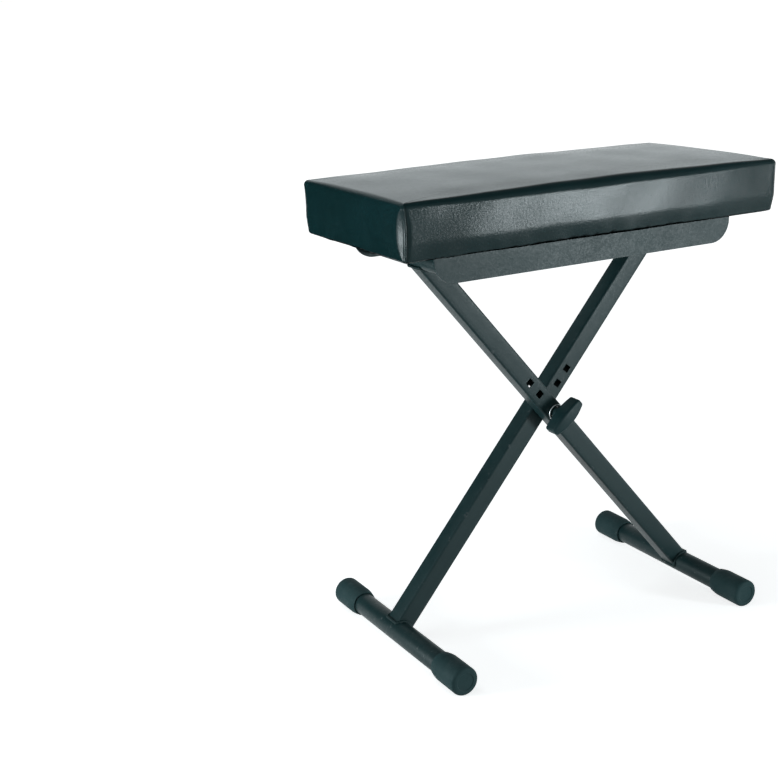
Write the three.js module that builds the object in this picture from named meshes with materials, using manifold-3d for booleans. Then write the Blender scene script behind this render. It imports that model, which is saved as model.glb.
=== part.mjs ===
// A folding keyboard bench: a padded seat on two crossed tube legs, held at one of three heights
// by a bolt through both legs and a hand knob.
import * as THREE from "three";
import { mergeVertices } from "three/addons/utils/BufferGeometryUtils.js";
import Module from "manifold-3d";

const wasm = await Module();
wasm.setup();

// Sizes are in millimetres, +Z is up, and X runs along the seat. The origin is on the floor,
// under the point where the legs cross. The front of the bench, with the knob, faces -Y.

// Clearances
const gap = 0.3; // between pieces that are welded, screwed or laid together, and round a pin
const overrun = 5; // by which a cutting shape passes the faces that it cuts
const weldTolerance = 0.001; // vertices closer than this are one vertex

// Linkage of the legs
const upperArm = 286; // from a pivot down to the clamping bolt, at the highest setting
const lowerArm = 340; // from the clamping bolt down to the axis of the foot
const heightStep = 56; // by which the seat drops from one setting to the next
const settingCount = 3;

// Leg tubes, square
const legSize = 25.4;
const legWall = 1.5;
const legCorner = 2.5;
const innerCornerShare = 0.3; // least inner corner radius, as a share of the outer one
const holeSize = 8.8; // square holes for the neck of the bolt

// Foot tubes, round, and their rubber caps
const footLength = 304; // over both caps
const footDiameter = 28.6;
const footWall = 1.5;
const capDiameter = 36.4;
const capLength = 53;
const capEndWall = 5;
const capMouthWall = 1.6; // wall at the open end, where the cap tapers down to the tube
const capTaper = 10; // length of that taper
const capEdge = 4; // rounding of the closed end
const capDishRadius = 11.5; // shallow dish in the closed end
const capDishDepth = 0.8;
const soleDepth = 0.5; // flat that the cap's own weight has worn where it stands

// Cross tubes at the tops of the legs, their bushes and pins
const crossDiameter = 22;
const crossWall = 1.5;
const bushFlange = 2;
const bushLength = 16; // flange included
const pinDiameter = 10;
const pinLength = 17;
const pinChamfer = 1;

// Rails, bent from strip: an upright side and a flange on top that is screwed to the seat
const railSetBack = 25; // from a long side of the seat to the outer face of its rail
const railEndSetBack = 52.5; // from an end of the seat to the ends of the rails
const railHeight = 35;
const railFlange = 24;
const railThickness = 2.5;
const railBend = 4; // outer radius of the bend
const railCorner = 27; // radius of the lower corners
const railBelowPivot = 14; // from the pivot axis down to the rail's lower edge
const pivotMargin = 31; // from the end of a rail to the nearest pivot axis
const screwsPerRail = 4;
const screwEndMargin = 30; // from the end of a rail to its nearest screw

// Wood screws
const screwDiameter = 4;
const screwHeadDiameter = 8.4;
const screwHeadHeight = 2.4;
const screwInBoard = 9;
const screwPoint = 3;

// Seat
const seatLength = 535;
const seatWidth = 244;
const seatThickness = 69.5; // from the rails to the crown of the cushion
const seatCrown = 4; // rise of the top face from its edge to its middle
const seatTopEdge = 8; // rounding of the upper edge
const seatLowerEdge = 3.5; // rounding of the lower edge, round the board
const seatDrawIn = 2.5; // by which the sides draw in from their widest line down to the board
const seatCorner = 10; // rounding of the upright corners at half height
const seatCornerTip = 5.5; // the same at the upper and lower edges
const leastCornerShare = 0.3; // what is left of the corner's rounding on the top and bottom faces
const coverThickness = 1.2; // leatherette
const coverLip = 24; // by which the leatherette is turned under the board
const boardThickness = 12;
const boardCorner = 6;

// Clamping bolt, with a square neck that a leg's square hole keeps from turning
const boltDiameter = 8;
const boltLength = 70; // under the head
const boltHeadDiameter = 17;
const boltHeadHeight = 4.4;
const neckSize = 8.2;
const neckLength = 4.6;
const spacerDiameter = 22;
const spacerThickness = 1;

// Cupped washer under the knob
const washerDiameter = 21.5;
const washerBase = 1.4;
const washerHeight = 3.4; // base and rim
const washerRim = 1.5; // thickness of the rim
const washerSlope = 2; // width of the slope inside the rim

// Hand knob: a wing on a round neck, with a threaded insert
const knobLength = 53;
const knobMiddle = 18; // thickness of the wing at its middle
const knobEnd = 11.5; // thickness of the wing at its ends
const knobDepth = 21; // of the wing, along the bolt
const knobArch = 3; // by which the outer face falls away towards the ends
const knobEdge = 2.2; // rounding of the wing's long edges
const knobCorner = 3; // rounding of the wing's ends
const knobNeckDiameter = 14;
const knobNeckLength = 8.5;
const knobBoreDepth = 20;
const insertDiameter = 11;
const insertLength = 14;
const knobTilt = THREE.MathUtils.degToRad(41);

// Fineness of round shapes
const tubeSides = 28;
const smallSides = 12;
const turnSteps = 2;
const arcSteps = 5;
const cornerSteps = 3;
const sideSteps = 6;
const crownSteps = 6;

// Places that follow from the sizes
const railLength = seatLength - 2 * railEndSetBack;
const railSpread = seatWidth - 2 * railSetBack; // over the outer faces of both rails
const pivotSpan = railLength - 2 * pivotMargin; // from one leg's pivot to the other's
const legAngle = Math.acos(pivotSpan / 2 / upperArm);
const legGap = spacerThickness + 2 * gap;
const legOffset = (legGap + legSize) / 2; // from the middle of the bench to the axis of a leg
const legFace = legGap / 2 + legSize; // to the outer face of a leg
const footZ = capDiameter / 2 - soleDepth;
const crossingZ = footZ + lowerArm * Math.sin(legAngle);
const pivotZ = crossingZ + upperArm * Math.sin(legAngle);
const railTop = pivotZ - railBelowPivot + railHeight;
const railInner = railSpread / 2 - railThickness; // inner face of a rail's upright side
const crossLength = 2 * (railInner - 2 * gap - bushFlange);
const footTubeLength = footLength - 2 * (capEndWall + gap);
const coverBottom = gap; // heights in the seat are counted from the top of the rails
const boardBottom = coverBottom + coverThickness + gap;
const boardTop = boardBottom + boardThickness;
const boardInset = seatDrawIn + seatLowerEdge;
const boardLength = seatLength - 2 * boardInset;
const boardWidth = seatWidth - 2 * boardInset;
const openingLength = boardLength - 2 * coverLip; // opening that the turned-in cover leaves
const openingWidth = boardWidth - 2 * coverLip;
const screwY = railSpread / 2 - railBend - (railFlange - railBend) / 2;

// Materials
const finish = (color, roughness, metalness) => new THREE.MeshStandardMaterial({ color, roughness, metalness });
const paintedSteel = finish(0x2b3134, 0.45, 0.5);
const blackRubber = finish(0x23282a, 0.8, 0);
const leatherette = finish(0x1c2426, 0.4, 0);
const foam = finish(0xb9b39a, 0.95, 0);
const plywood = finish(0xb58c5c, 0.8, 0);
const blackCloth = finish(0x1a1a1a, 0.95, 0);
const nylon = finish(0x222222, 0.5, 0);
const moulding = finish(0x24292b, 0.55, 0);
const zinc = finish(0xb8bcc0, 0.35, 1);
const chrome = finish(0xe0e3e6, 0.12, 1);
const brass = finish(0xb99a52, 0.35, 1);

// A closed solid from a geometry: only positions are kept, and collapsed triangles are dropped.
function solid(geometry) {
  const bare = new THREE.BufferGeometry();
  bare.setAttribute("position", geometry.getAttribute("position"));
  bare.setIndex(geometry.index);
  const merged = mergeVertices(bare, weldTolerance);
  const index = merged.index.array;
  const kept = [];
  for (let i = 0; i < index.length; i += 3) {
    const [a, b, c] = index.slice(i, i + 3);
    if (a !== b && b !== c && c !== a) kept.push(a, b, c);
  }
  const vertProperties = merged.getAttribute("position").array;
  return new wasm.Manifold(new wasm.Mesh({ numProp: 3, vertProperties, triVerts: Uint32Array.from(kept) }));
}

// A named mesh from a solid.
function piece(name, body, material) {
  const made = body.getMesh();
  const geometry = new THREE.BufferGeometry();
  geometry.setAttribute("position", new THREE.BufferAttribute(made.vertProperties, made.numProp));
  geometry.setIndex(new THREE.BufferAttribute(made.triVerts, 1));
  geometry.computeVertexNormals();
  const mesh = new THREE.Mesh(geometry, material);
  mesh.name = name;
  return mesh;
}

// A box between two corners.
function block(low, high) {
  const size = high.map((value, i) => value - low[i]);
  const centre = high.map((value, i) => (value + low[i]) / 2);
  return solid(new THREE.BoxGeometry(...size).translate(...centre));
}

// A box about the origin.
function centredBlock(x, y, z) {
  return solid(new THREE.BoxGeometry(x, y, z));
}

// A round rod along Y about the origin.
function rod(radius, length, sides = tubeSides) {
  return solid(new THREE.CylinderGeometry(radius, radius, length, sides));
}

// An upright rod between two heights.
function uprightRod(x, y, low, high, radius, sides = smallSides) {
  const geometry = new THREE.CylinderGeometry(radius, radius, high - low, sides);
  return solid(geometry.rotateX(Math.PI / 2).translate(x, y, (low + high) / 2));
}

// A body turned about Y from a closed or axis-to-axis outline of radius and height.
function turned(path, sides = tubeSides) {
  return solid(new THREE.LatheGeometry(path.getPoints(turnSteps), sides));
}

// A pipe along Y about the origin.
function pipe(outer, inner, length, sides = tubeSides) {
  const path = new THREE.Path();
  path.moveTo(inner, -length / 2);
  path.lineTo(outer, -length / 2);
  path.lineTo(outer, length / 2);
  path.lineTo(inner, length / 2);
  path.lineTo(inner, -length / 2);
  return turned(path, sides);
}

// A shape extruded to a depth, centred on the shape's plane.
function prism(shape, depth) {
  const options = { depth, bevelEnabled: false, curveSegments: cornerSteps };
  return new THREE.ExtrudeGeometry(shape, options).translate(0, 0, -depth / 2);
}

// Turns an extrusion so that its outline's x and y become Y and Z, and it runs along X.
function alongX(geometry) {
  const [x, y, z] = [new THREE.Vector3(1, 0, 0), new THREE.Vector3(0, 1, 0), new THREE.Vector3(0, 0, 1)];
  return geometry.applyMatrix4(new THREE.Matrix4().makeBasis(y, z, x));
}

// Turns an extrusion so that its outline stands in X and Z, and it runs along Y.
function alongY(geometry) {
  return geometry.rotateX(Math.PI / 2);
}

function roundedRectangle(width, height, radius) {
  const [x, y] = [width / 2 - radius, height / 2 - radius];
  const shape = new THREE.Shape();
  shape.absarc(x, y, radius, 0, Math.PI / 2);
  shape.absarc(-x, y, radius, Math.PI / 2, Math.PI);
  shape.absarc(-x, -y, radius, Math.PI, 1.5 * Math.PI);
  shape.absarc(x, -y, radius, 1.5 * Math.PI, 2 * Math.PI);
  shape.closePath();
  return shape;
}

// Distance from a leg's pivot to its hole for a setting: each step lowers the seat by heightStep.
function holeArm(setting) {
  const sine = Math.sin(legAngle) - (setting * heightStep) / (upperArm + lowerArm);
  return pivotSpan / 2 / Math.sqrt(1 - sine * sine);
}

// A leg's square tube along X, down towards +X, with the bolt's hole at the origin. Both ends are
// coped round the tubes that they are welded to, and one square hole serves each height setting.
function legTube(name) {
  const innerSize = legSize - 2 * legWall;
  const innerCorner = Math.max(legCorner - legWall, legCorner * innerCornerShare);
  const outline = roundedRectangle(legSize, legSize, legCorner);
  outline.holes.push(roundedRectangle(innerSize, innerSize, innerCorner));
  const blank = alongX(prism(outline, upperArm + lowerArm)).translate((lowerArm - upperArm) / 2, 0, 0);
  const through = legSize + 2 * overrun;
  let tube = solid(blank);
  tube = tube.subtract(rod(crossDiameter / 2 + gap, through).translate([-upperArm, 0, 0]));
  tube = tube.subtract(rod(footDiameter / 2 + gap, through).translate([lowerArm, 0, 0]));
  for (let setting = 0; setting < settingCount; setting++) {
    const x = holeArm(setting) - upperArm;
    tube = tube.subtract(centredBlock(holeSize, through, holeSize).translate([x, 0, 0]));
  }
  return piece(name, tube, paintedSteel);
}

// A rubber cap along +Y, with its closed end at y = 0 and its mouth at -capLength.
function footCap() {
  const [outer, bore] = [capDiameter / 2, footDiameter / 2 + gap];
  const path = new THREE.Path();
  path.moveTo(0, -capEndWall);
  path.lineTo(bore, -capEndWall);
  path.lineTo(bore, -capLength);
  path.lineTo(bore + capMouthWall, -capLength);
  path.quadraticCurveTo(outer, -capLength + capTaper / 2, outer, -capLength + capTaper);
  path.lineTo(outer, -capEdge);
  path.absarc(outer - capEdge, -capEdge, capEdge, 0, Math.PI / 2);
  path.lineTo(capDishRadius, 0);
  path.lineTo(capDishRadius - capDishDepth, -capDishDepth);
  path.lineTo(0, -capDishDepth);
  return turned(path);
}

// The foot of a leg: the round tube and its two caps, whose worn flats face down.
function foot(legName) {
  const group = new THREE.Group();
  const tube = pipe(footDiameter / 2, footDiameter / 2 - footWall, footTubeLength);
  group.add(piece(`${legName}_foot_tube`, tube, paintedSteel));
  const below = [capDiameter, footLength + 2 * overrun, capDiameter];
  const floor = centredBlock(...below).translate([0, 0, -footZ - capDiameter / 2]);
  for (const [side, turn] of [["front", 180], ["rear", 0]]) {
    const cap = footCap().translate([0, footLength / 2, 0]).rotate([0, 0, turn]);
    group.add(piece(`${legName}_${side}_foot_cap`, cap.subtract(floor), blackRubber));
  }
  return group;
}

// A flanged bush along Y, with its flange ending at y = 0 and its sleeve towards -Y.
function bush() {
  const sleeve = crossDiameter / 2 - crossWall - gap;
  const bore = pinDiameter / 2 + gap;
  const path = new THREE.Path();
  path.moveTo(bore, -bushLength);
  path.lineTo(sleeve, -bushLength);
  path.lineTo(sleeve, -bushFlange);
  path.lineTo(crossDiameter / 2, -bushFlange);
  path.lineTo(crossDiameter / 2, 0);
  path.lineTo(bore, 0);
  path.lineTo(bore, -bushLength);
  return turned(path);
}

// A pivot pin along Y, with the end that is welded to the rail at y = 0 and its tip towards -Y.
function pin() {
  const radius = pinDiameter / 2;
  const path = new THREE.Path();
  path.moveTo(0, -pinLength);
  path.lineTo(radius - pinChamfer, -pinLength);
  path.lineTo(radius, -pinLength + pinChamfer);
  path.lineTo(radius, 0);
  path.lineTo(0, 0);
  return turned(path);
}

// The pair of pins of one pivot, one on each rail.
function pivotPins(legName) {
  return [["front", 180], ["rear", 0]].map(([side, turn]) => {
    const body = pin().translate([0, railInner - gap, 0]).rotate([0, 0, turn]);
    return piece(`${legName}_${side}_pivot_pin`, body, zinc);
  });
}

// The cross tube at the top of a leg, with a bush in each end.
function crossTube(legName) {
  const group = new THREE.Group();
  const tube = pipe(crossDiameter / 2, crossDiameter / 2 - crossWall, crossLength);
  group.add(piece(`${legName}_cross_tube`, tube, paintedSteel));
  for (const [side, turn] of [["front", 180], ["rear", 0]]) {
    const body = bush().translate([0, railInner - gap, 0]).rotate([0, 0, turn]);
    group.add(piece(`${legName}_${side}_bush`, body, nylon));
  }
  return group;
}

// A whole leg about the clamping bolt. The angle turns its lower arm down from +X.
function leg(legName, side, angle) {
  const group = new THREE.Group();
  group.position.z = crossingZ;
  group.rotation.y = angle;
  const tube = legTube(`${legName}_tube`);
  tube.position.y = side * legOffset;
  const top = crossTube(legName);
  top.position.x = -upperArm;
  const base = foot(legName);
  base.position.x = lowerArm;
  base.rotation.y = -angle;
  group.add(tube, top, base);
  return group;
}

// The bolt along Y: a domed head behind the rear leg, a square neck in its hole, and a long shank.
function clampBolt() {
  const [shank, head] = [boltDiameter / 2, boltHeadDiameter / 2];
  const headFace = legFace + gap;
  const path = new THREE.Path();
  path.moveTo(0, headFace - boltLength);
  path.lineTo(shank - pinChamfer, headFace - boltLength);
  path.lineTo(shank, headFace - boltLength + pinChamfer);
  path.lineTo(shank, headFace);
  path.lineTo(head, headFace);
  path.absellipse(0, headFace, head, boltHeadHeight, 0, Math.PI / 2);
  const neck = centredBlock(neckSize, neckLength, neckSize).translate([0, headFace - neckLength / 2, 0]);
  return piece("clamp_bolt", turned(path).add(neck), zinc);
}

// The washer that keeps the painted legs apart on the bolt.
function spacerWasher() {
  const ring = pipe(spacerDiameter / 2, boltDiameter / 2 + gap, spacerThickness);
  return piece("leg_spacer_washer", ring, nylon);
}

// The cupped washer along +Y, with the face that presses on the leg at y = 0.
function cupWasher() {
  const [outer, bore] = [washerDiameter / 2, boltDiameter / 2 + gap];
  const path = new THREE.Path();
  path.moveTo(bore, 0);
  path.lineTo(outer - washerRim / 2, 0);
  path.lineTo(outer, washerRim / 2);
  path.lineTo(outer, washerHeight);
  path.lineTo(outer - washerRim, washerHeight);
  path.lineTo(outer - washerRim - washerSlope, washerBase);
  path.lineTo(bore, washerBase);
  path.lineTo(bore, 0);
  return piece("clamp_washer", turned(path), chrome);
}

// The wing seen along the bolt: two shallow curves between narrow rounded ends.
function wingOutline() {
  const [x, end, control] = [knobLength / 2, knobEnd / 2, knobMiddle - knobEnd / 2];
  const run = x - knobCorner;
  const shape = new THREE.Shape();
  shape.moveTo(run, -end);
  shape.absarc(run, -end + knobCorner, knobCorner, 1.5 * Math.PI, 2 * Math.PI);
  shape.absarc(run, end - knobCorner, knobCorner, 0, Math.PI / 2);
  shape.quadraticCurveTo(0, control, -run, end);
  shape.absarc(-run, end - knobCorner, knobCorner, Math.PI / 2, Math.PI);
  shape.absarc(-run, -end + knobCorner, knobCorner, Math.PI, 1.5 * Math.PI);
  shape.quadraticCurveTo(0, -control, run, -end);
  return shape;
}

// The wing along +Y from y = 0, with rounded edges and an outer face that arches over its length.
function wing() {
  const options = {
    depth: knobDepth - 2 * knobEdge,
    bevelThickness: knobEdge,
    bevelSize: knobEdge,
    bevelOffset: -knobEdge,
    bevelSegments: cornerSteps,
    curveSegments: 2 * cornerSteps,
  };
  const geometry = new THREE.ExtrudeGeometry(wingOutline(), options);
  geometry.rotateX(-Math.PI / 2).translate(0, knobEdge, 0);
  const places = geometry.getAttribute("position");
  for (let i = 0; i < places.count; i++) {
    const reach = places.getX(i) / (knobLength / 2);
    places.setY(i, places.getY(i) * (1 - (knobArch / knobDepth) * reach * reach));
  }
  return solid(geometry);
}

// The knob along +Y, with the face of its neck at y = 0.
function knob() {
  const [radius, hole] = [knobNeckDiameter / 2, insertDiameter / 2 + gap];
  const neckEnd = knobNeckLength + knobDepth / 2;
  const path = new THREE.Path();
  path.moveTo(0, 0);
  path.lineTo(radius, 0);
  path.lineTo(radius, neckEnd);
  path.lineTo(0, neckEnd);
  const handle = wing().translate([0, knobNeckLength, 0]);
  const bore = rod(hole, knobBoreDepth + overrun).translate([0, (knobBoreDepth - overrun) / 2, 0]);
  return piece("knob_handle", turned(path).add(handle).subtract(bore), moulding);
}

// The knob, its insert and the washer on the front of the front leg. +Y of this group faces forward.
function clamp() {
  const group = new THREE.Group();
  group.position.z = crossingZ;
  group.rotation.z = Math.PI;
  const washer = cupWasher();
  washer.position.y = legFace + gap;
  const handle = knob();
  handle.position.y = washer.position.y + washerBase + gap;
  handle.rotation.y = knobTilt;
  const sleeve = pipe(insertDiameter / 2, boltDiameter / 2 + gap, insertLength);
  const insert = piece("knob_threaded_insert", sleeve, brass);
  insert.position.y = handle.position.y + gap + insertLength / 2;
  group.add(washer, handle, insert);
  return group;
}

// The places of one rail's screws along X.
function screwPlaces() {
  const run = railLength - 2 * screwEndMargin;
  return Array.from({ length: screwsPerRail }, (_, i) => (i / (screwsPerRail - 1) - 0.5) * run);
}

// The front rail: an angle section with its lower corners rounded off, drilled for its screws.
function railBody() {
  const [outer, inner] = [-railSpread / 2, -railInner];
  const bendCentre = outer + railBend;
  const section = new THREE.Shape();
  section.moveTo(inner, -railHeight);
  section.lineTo(outer, -railHeight);
  section.absarc(bendCentre, -railBend, railBend, Math.PI, Math.PI / 2, true);
  section.lineTo(outer + railFlange, 0);
  section.lineTo(outer + railFlange, -railThickness);
  section.absarc(bendCentre, -railBend, railBend - railThickness, Math.PI / 2, Math.PI);
  const run = railLength / 2 - railCorner;
  const side = new THREE.Shape();
  side.moveTo(railLength / 2, overrun);
  side.lineTo(-railLength / 2, overrun);
  side.absarc(-run, -railHeight + railCorner, railCorner, Math.PI, 1.5 * Math.PI);
  side.absarc(run, -railHeight + railCorner, railCorner, 1.5 * Math.PI, 2 * Math.PI);
  const options = { depth: railSpread, bevelEnabled: false, curveSegments: 2 * arcSteps };
  const mask = new THREE.ExtrudeGeometry(side, options).translate(0, 0, -railSpread / 2);
  let body = solid(alongX(prism(section, railLength))).intersect(solid(alongY(mask)));
  for (const x of screwPlaces()) {
    const hole = uprightRod(x, -screwY, -railThickness - overrun, overrun, screwDiameter / 2 + gap);
    body = body.subtract(hole);
  }
  return body;
}

// A wood screw pointing up, with its head under the rail's flange.
function screwBody() {
  const [shank, head] = [screwDiameter / 2, screwHeadDiameter / 2];
  const under = -railThickness - gap;
  const tip = boardBottom + screwInBoard;
  const path = new THREE.Path();
  path.moveTo(0, under - screwHeadHeight);
  path.quadraticCurveTo(head, under - screwHeadHeight, head, under);
  path.lineTo(shank, under);
  path.lineTo(shank, tip - screwPoint);
  path.lineTo(0, tip);
  const geometry = new THREE.LatheGeometry(path.getPoints(cornerSteps), smallSides);
  return solid(geometry.rotateX(Math.PI / 2));
}

// Both rails with their screws.
function rails() {
  const group = new THREE.Group();
  for (const [side, turn, sign] of [["front", 0, -1], ["rear", 180, 1]]) {
    group.add(piece(`${side}_rail`, railBody().rotate([0, 0, turn]), paintedSteel));
    screwPlaces().forEach((x, i) => {
      const screw = piece(`${side}_rail_screw_${i + 1}`, screwBody(), zinc);
      screw.position.set(x, sign * screwY, 0);
      group.add(screw);
    });
  }
  return group;
}

// A ring of the cushion, anticlockwise from +X: a rounded rectangle set in from the cushion's size.
function cushionRing({ inset, corner, scale }) {
  const radius = Math.max(corner, seatCornerTip * leastCornerShare);
  const [x, y] = [seatLength / 2 - inset - radius, seatWidth / 2 - inset - radius];
  return [[x, y], [-x, y], [-x, -y], [x, -y]].flatMap(([cx, cy], i) =>
    Array.from({ length: arcSteps + 1 }, (_, j) => {
      const angle = (i + j / arcSteps) * (Math.PI / 2);
      const point = new THREE.Vector2(cx + radius * Math.cos(angle), cy + radius * Math.sin(angle));
      return point.multiplyScalar(scale);
    }),
  );
}

// The levels of the cushion from below, a skin's thickness inside its face. The lower edge is a
// quarter round, the sides swell to their widest line, the upper edge is a larger quarter round,
// and the top face rises to a crown. The upright corners are roundest at half the sides' height.
function cushionLevels(skin) {
  const [low, high] = [coverBottom + skin, seatThickness - seatCrown - skin];
  const [lower, upper] = [seatLowerEdge - skin, seatTopEdge - skin];
  const levels = [];
  for (let i = 0; i < cornerSteps; i++) {
    const angle = ((i / cornerSteps) * Math.PI) / 2;
    const turn = lower * (1 - Math.sin(angle));
    const rise = lower * (1 - Math.cos(angle));
    levels.push({ z: low + rise, inset: skin + seatDrawIn + turn, corner: seatCornerTip - skin - turn, scale: 1 });
  }
  for (let i = 0; i <= sideSteps; i++) {
    const share = i / sideSteps;
    const drawn = seatDrawIn * (1 - Math.sin((share * Math.PI) / 2));
    const corner = seatCornerTip + (seatCorner - seatCornerTip) * Math.sin(share * Math.PI) - skin;
    const z = low + lower + share * (high - upper - low - lower);
    levels.push({ z, inset: skin + drawn, corner, scale: 1 });
  }
  for (let i = 1; i <= arcSteps; i++) {
    const angle = ((i / arcSteps) * Math.PI) / 2;
    const turn = upper * (1 - Math.cos(angle));
    const z = high - upper * (1 - Math.sin(angle));
    levels.push({ z, inset: skin + turn, corner: seatCornerTip - skin - turn, scale: 1 });
  }
  const edge = levels[levels.length - 1];
  for (let i = 1; i < crownSteps; i++) {
    const scale = 1 - i / crownSteps;
    levels.push({ ...edge, z: high + seatCrown * (1 - scale * scale), scale });
  }
  return levels;
}

// The cushion's outer form, or the form that lies a skin's thickness inside it.
function cushionForm(skin) {
  const levels = cushionLevels(skin);
  const rings = levels.map(cushionRing);
  const count = rings[0].length;
  const places = rings.flatMap((ring, i) => ring.flatMap((p) => [p.x, p.y, levels[i].z]));
  places.push(0, 0, levels[0].z, 0, 0, seatThickness - skin);
  const [bottom, top] = [rings.length * count, rings.length * count + 1];
  const last = bottom - count;
  const index = [];
  for (let j = 0; j < count; j++) {
    const next = (j + 1) % count;
    index.push(bottom, next, j, top, last + j, last + next);
    for (let i = 0; i < last; i += count) {
      const above = i + count;
      index.push(i + j, i + next, above + next, i + j, above + next, above + j);
    }
  }
  const geometry = new THREE.BufferGeometry();
  geometry.setAttribute("position", new THREE.Float32BufferAttribute(places, 3));
  geometry.setIndex(index);
  return solid(geometry);
}

// The leatherette: a shell that is turned under the board and leaves an opening in the middle.
function seatCover() {
  const [x, y] = [openingLength / 2, openingWidth / 2];
  const opening = block([-x, -y, -overrun], [x, y, boardBottom]);
  return piece("seat_cover", cushionForm(0).subtract(cushionForm(coverThickness)).subtract(opening), leatherette);
}

// The foam fills the cover above the board.
function seatFoam() {
  const [x, y] = [seatLength / 2 + overrun, seatWidth / 2 + overrun];
  const below = block([-x, -y, -overrun], [x, y, boardTop + gap]);
  return piece("seat_foam", cushionForm(coverThickness + gap).subtract(below), foam);
}

// Holes for all the screws between two heights.
function screwHoles(low, high) {
  const holes = screwPlaces().flatMap((x) => [-screwY, screwY].map((y) => [x, y]));
  return holes.map(([x, y]) => uprightRod(x, y, low, high, screwDiameter / 2 + gap));
}

function seatBoard() {
  const outline = roundedRectangle(boardLength, boardWidth, boardCorner);
  let board = solid(prism(outline, boardThickness)).translate([0, 0, boardBottom + boardThickness / 2]);
  for (const hole of screwHoles(boardBottom - overrun, boardBottom + screwInBoard + gap)) {
    board = board.subtract(hole);
  }
  return piece("seat_board", board, plywood);
}

// The cloth that closes the underside, inside the turned-in leatherette.
function dustCloth() {
  const [x, y] = [openingLength / 2 - gap, openingWidth / 2 - gap];
  let cloth = block([-x, -y, coverBottom], [x, y, coverBottom + coverThickness]);
  for (const hole of screwHoles(-overrun, boardBottom)) {
    cloth = cloth.subtract(hole);
  }
  return piece("underside_cloth", cloth, blackCloth);
}

function seat() {
  const group = new THREE.Group();
  group.position.z = railTop;
  group.add(seatCover(), seatFoam(), seatBoard(), dustCloth(), rails());
  return group;
}

const bench = new THREE.Group();
const frontLeg = leg("front_leg", -1, legAngle);
const rearLeg = leg("rear_leg", 1, Math.PI - legAngle);
rearLeg.add(clampBolt(), spacerWasher());
const [frontPins, rearPins] = [new THREE.Group(), new THREE.Group()];
frontPins.position.set(-pivotSpan / 2, 0, pivotZ);
frontPins.add(...pivotPins("front_leg"));
rearPins.position.set(pivotSpan / 2, 0, pivotZ);
rearPins.add(...pivotPins("rear_leg"));
bench.add(seat(), frontLeg, rearLeg, frontPins, rearPins, clamp());

export default bench;
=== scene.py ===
"""Looks of the folding keyboard bench: a leatherette seat on crossed legs of painted tube.

All lengths are in metres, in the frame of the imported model: X along the seat, -Y to the front,
+Z up, with the origin on the floor under the crossing of the legs.
"""

import bmesh
import bpy
import numpy as np
from mathutils import Matrix, Vector
from numpy import (
    append, arange, arccos, arctan2, array, broadcast_arrays, clip, concatenate, cos, cross, exp,
    full, hypot, linspace, maximum, minimum, moveaxis, ones_like, pi, radians, roll, sin, sort,
    sqrt, stack, tan, zeros)
from numpy.linalg import norm

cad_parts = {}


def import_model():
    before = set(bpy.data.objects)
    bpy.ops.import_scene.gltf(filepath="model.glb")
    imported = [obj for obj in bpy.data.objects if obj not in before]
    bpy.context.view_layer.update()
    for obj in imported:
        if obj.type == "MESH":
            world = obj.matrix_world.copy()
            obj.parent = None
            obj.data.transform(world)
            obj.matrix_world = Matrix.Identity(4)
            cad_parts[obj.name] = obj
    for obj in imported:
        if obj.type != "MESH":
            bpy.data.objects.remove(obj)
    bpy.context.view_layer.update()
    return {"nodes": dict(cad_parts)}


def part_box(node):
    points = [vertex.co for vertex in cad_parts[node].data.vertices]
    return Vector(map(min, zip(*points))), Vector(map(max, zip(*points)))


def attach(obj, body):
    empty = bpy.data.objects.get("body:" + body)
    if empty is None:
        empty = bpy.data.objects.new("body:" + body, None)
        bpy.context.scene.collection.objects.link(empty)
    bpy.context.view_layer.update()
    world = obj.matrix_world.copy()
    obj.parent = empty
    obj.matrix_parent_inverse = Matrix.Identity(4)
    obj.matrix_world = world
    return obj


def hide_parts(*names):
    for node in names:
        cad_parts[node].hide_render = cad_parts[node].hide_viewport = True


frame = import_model()

SCENE = bpy.context.scene
MM = 0.001


def corners(node):
    """A node's lowest and highest corner."""
    return array(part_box(node))


def centre(node):
    return corners(node).mean(0)


# Places and sizes that the frame gives
SEAT_LOW, SEAT_HIGH = corners("seat_cover")
BOLT_LOW, BOLT_HIGH = corners("clamp_bolt")
CLOTH_LOW, CLOTH_HIGH = corners("underside_cloth")
LEG_LOW, LEG_HIGH = corners("front_leg_tube")
CROSSING = centre("leg_spacer_washer")
FRONT_PIVOT = centre("front_leg_cross_tube")
FRONT_FOOT = centre("front_leg_foot_tube")
FOOT_RADIUS = (corners("front_leg_foot_tube")[1] - FRONT_FOOT)[0]
CROSS_RADIUS = (corners("front_leg_cross_tube")[1] - FRONT_PIVOT)[0]
UPPER_ARM, LOWER_ARM = (hypot(*(CROSSING - end)[[0, 2]]) for end in (FRONT_PIVOT, FRONT_FOOT))
LEG_ANGLE = arccos(-FRONT_PIVOT[0] / UPPER_ARM)

# Sizes of the metalwork
LEG_SIZE = LEG_HIGH[1] - LEG_LOW[1]
LEG_WALL, LEG_CORNER, TUBE_WALL, GAP = array([1.5, 2.6, 1.5, 0.3]) * MM
HOLE_SIZE, HEIGHT_STEP, SETTINGS = 8.8 * MM, 56 * MM, 3
STRIP, STRIP_BEND, FLANGE, RAIL_CORNER = array([2.5, 4, 24, 27]) * MM


# Node groups and materials

def feed(node, inputs):
    """Gives each of a node's inputs a value or what feeds it."""
    for key, value in inputs.items():
        if isinstance(value, bpy.types.NodeSocket):
            node.id_data.links.new(value, node.inputs[key])
        else:
            node.inputs[key].default_value = value


def add(kind, inputs, tree=None, **settings):
    """A node with its settings and its inputs, in the given tree or in that of what feeds it."""
    feeding = (value for value in inputs.values() if isinstance(value, bpy.types.NodeSocket))
    node = (tree or next(feeding).id_data).nodes.new("ShaderNode" + kind)
    for key, value in settings.items():
        setattr(node, key, value)
    feed(node, inputs)
    return node


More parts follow.
